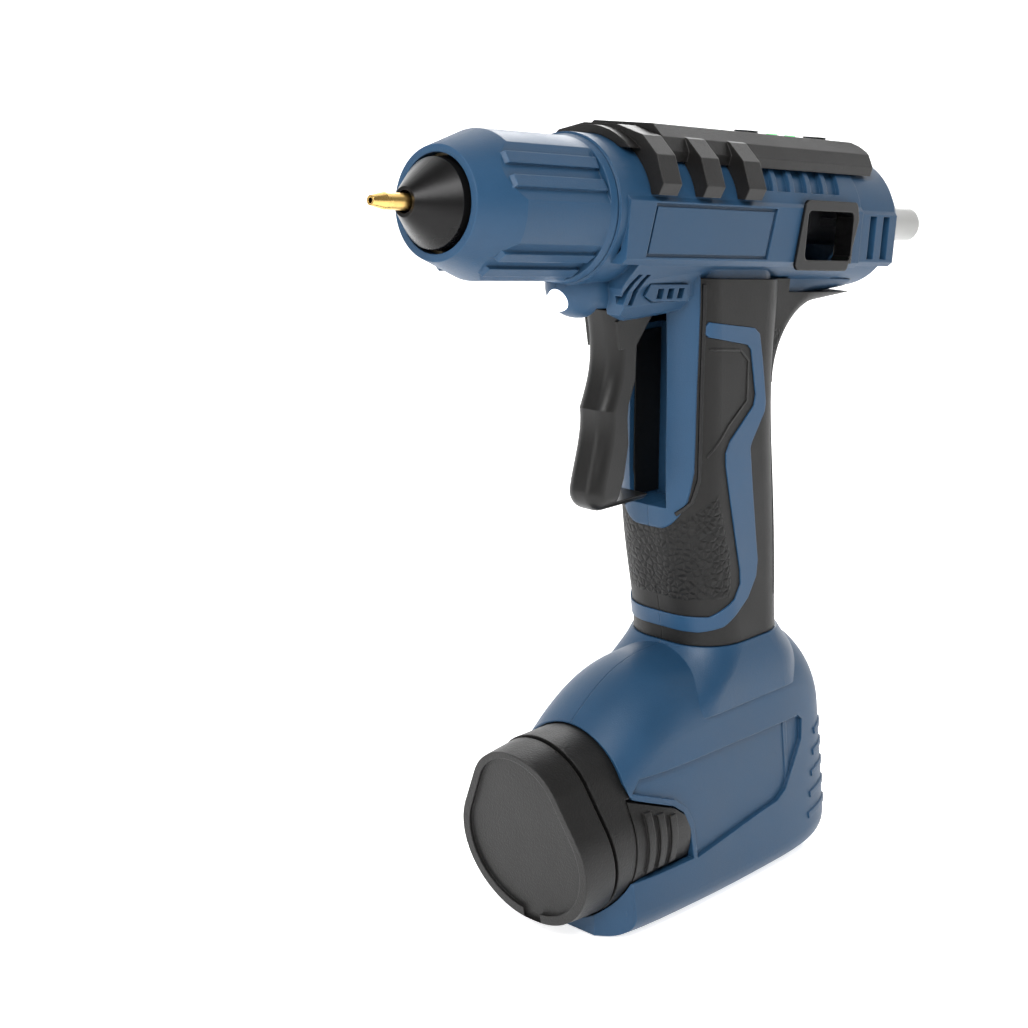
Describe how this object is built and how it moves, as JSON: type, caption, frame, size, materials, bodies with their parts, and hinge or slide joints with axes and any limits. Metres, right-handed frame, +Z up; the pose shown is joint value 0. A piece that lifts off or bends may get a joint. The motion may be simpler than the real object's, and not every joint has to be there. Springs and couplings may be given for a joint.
{
  "type": "cordless glue gun",
  "caption": "Pistol-shaped cordless hot glue gun: brass nozzle in a black cone, round blue barrel with stick windows, trigger, rubber grip and a slide-in battery.",
  "frame": {"origin": "under the middle of the gun's length, on the surface it stands on", "axes": "-X towards the nozzle, +Z up, +Y to the gun's right side"},
  "size_m": [0.245, 0.0558, 0.2376],
  "materials": {
    "housing_blue": "fine spark texture",
    "accent_blue": "satin",
    "badge_blue": "satin",
    "cover_black": "fine spark texture",
    "cone_black": "satin",
    "trigger_black": "satin",
    "battery_black": "spark texture",
    "key_black": "satin",
    "frame_gloss": "polished",
    "grip_rubber": "soft matt with moulded scales",
    "foot_rubber": "matt",
    "silicone": "matt",
    "nozzle_brass": "turned",
    "cast_aluminium": "as cast",
    "spring_steel": "bright",
    "heater_ceramic": "fired",
    "heat_resin": "moulded",
    "guide_resin": "moulded",
    "terminal_resin": "moulded",
    "board_green": "lacquered",
    "cell_wrap": "shrink film",
    "glue": "milky",
    "light_pipe": "frosted",
    "lens_clear": "frosted"
  },
  "bodies": {
    "housing": {"left_housing": "housing_blue", "right_housing": "housing_blue", "front_sleeve": "housing_blue", "rear_cap": "housing_blue", "nozzle_shroud": "cone_black", "nozzle": "nozzle_brass", "melt_chamber": "cast_aluminium", "heater_plate_top": "heater_ceramic", "heater_plate_bottom": "heater_ceramic", "heater_clamp": "spring_steel", "mount_ring": "heat_resin", "inlet_sleeve": "silicone", "top_cover": "cover_black", "control_board": "board_green", "status_light_1": "light_pipe", "status_light_2": "light_pipe", "left_window_frame": "frame_gloss", "right_window_frame": "frame_gloss", "left_badge_plate": "badge_blue", "right_badge_plate": "badge_blue", "left_vent_bezel": "housing_blue", "right_vent_bezel": "housing_blue", "guide_tube": "guide_resin", "trigger_pin": "spring_steel", "trigger_spring": "spring_steel", "left_grip_skin": "grip_rubber", "right_grip_skin": "grip_rubber", "left_accent": "accent_blue", "right_accent": "accent_blue", "battery_socket": "guide_resin", "terminal_block": "terminal_resin", "base_feet": "foot_rubber", "work_light_lens": "lens_clear", "work_light_board": "board_green", "housing_screws": "spring_steel"},
    "trigger": {"trigger": "trigger_black"},
    "carriage": {"feed_carriage": "guide_resin", "grip_jaw": "spring_steel"},
    "stick": {"glue_stick": "glue"},
    "power_key": {"power_button": "key_black"},
    "heat_key": {"heat_button": "key_black"},
    "battery": {"battery_case": "battery_black", "battery_end_cap": "battery_black", "battery_cell_1": "cell_wrap", "battery_cell_2": "cell_wrap", "battery_cell_3": "cell_wrap", "battery_board": "board_green"},
    "left_tab": {"left_latch": "battery_black"},
    "right_tab": {"right_latch": "battery_black"}
  },
  "joints": [
    {"name": "trigger_pull", "type": "hinge", "parent": "housing", "child": "trigger", "pos_m": [-0.02282, 0, 0.1875], "axis": [0, -1, 0], "range_deg": [0, 12], "stiffness_Nm_per_rad": 1.2, "springref_deg": -8.59},
    {"name": "carriage_feed", "type": "slide", "parent": "housing", "child": "carriage", "axis": [-0.9945, 0, 0.1045], "range_m": [0, 0.006]},
    {"name": "stick_load", "type": "slide", "parent": "carriage", "child": "stick", "axis": [0.9945, 0, -0.1045], "range_m": [0, 0.18]},
    {"name": "power_press", "type": "slide", "parent": "housing", "child": "power_key", "axis": [-0.1045, 0, -0.9945], "range_m": [0, 0.0008], "stiffness_N_per_m": 600, "springref_m": -0.001},
    {"name": "heat_press", "type": "slide", "parent": "housing", "child": "heat_key", "axis": [-0.1045, 0, -0.9945], "range_m": [0, 0.0008], "stiffness_N_per_m": 600, "springref_m": -0.001},
    {"name": "battery_slide", "type": "slide", "parent": "housing", "child": "battery", "axis": [-1, 0, 0], "range_m": [0, 0.09]},
    {"name": "left_tab_press", "type": "slide", "parent": "housing", "child": "left_tab", "axis": [0, 1, 0], "range_m": [0, 0.0008], "stiffness_N_per_m": 400, "springref_m": -0.001},
    {"name": "right_tab_press", "type": "slide", "parent": "housing", "child": "right_tab", "axis": [0, -1, 0], "range_m": [0, 0.0008], "stiffness_N_per_m": 400, "springref_m": -0.001}
  ],
  "couplings": [
    {"joint": "carriage_feed", "follows": "trigger_pull", "m_per_rad": 0.02}
  ]
}
